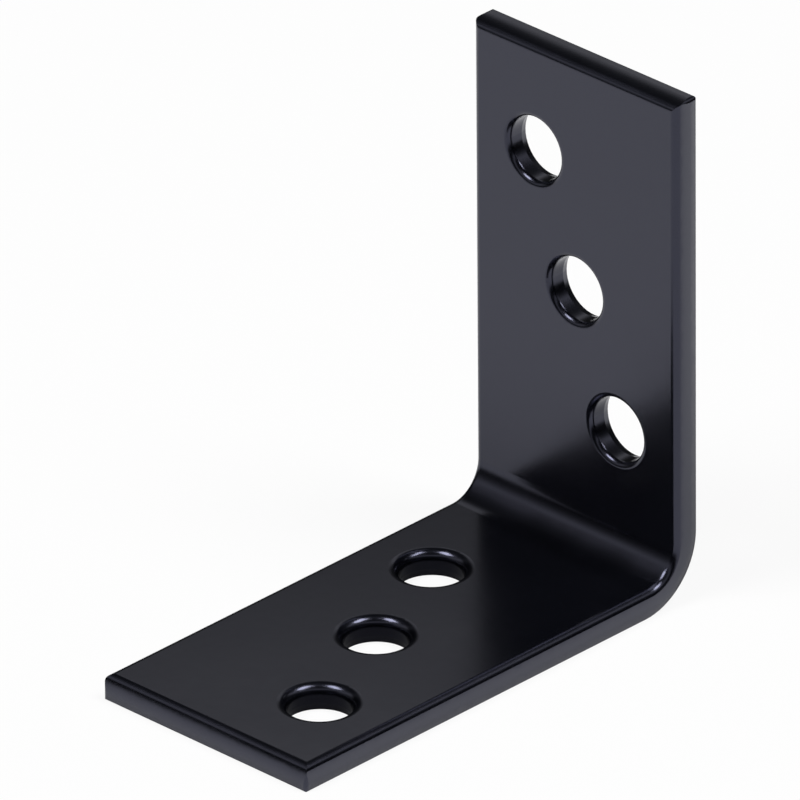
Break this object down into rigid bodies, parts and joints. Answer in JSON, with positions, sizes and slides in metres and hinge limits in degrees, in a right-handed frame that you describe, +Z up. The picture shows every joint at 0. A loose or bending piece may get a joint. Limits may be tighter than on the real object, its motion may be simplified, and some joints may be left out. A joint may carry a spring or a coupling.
{
  "type": "angle bracket",
  "caption": "Small folded steel angle bracket in black powder coat, with a slanting row of plain screw holes in each equal leg.",
  "frame": {"origin": "on the underside, under the middle of the bounding box", "axes": "+X across the strip, +Y from the tip of the flat leg to the outer face of the upright leg, +Z up the upright leg"},
  "size_m": [0.02, 0.04, 0.04],
  "materials": {
    "powder_coat": "satin"
  },
  "bodies": {
    "root": {"bracket": "powder_coat"}
  },
  "joints": []
}
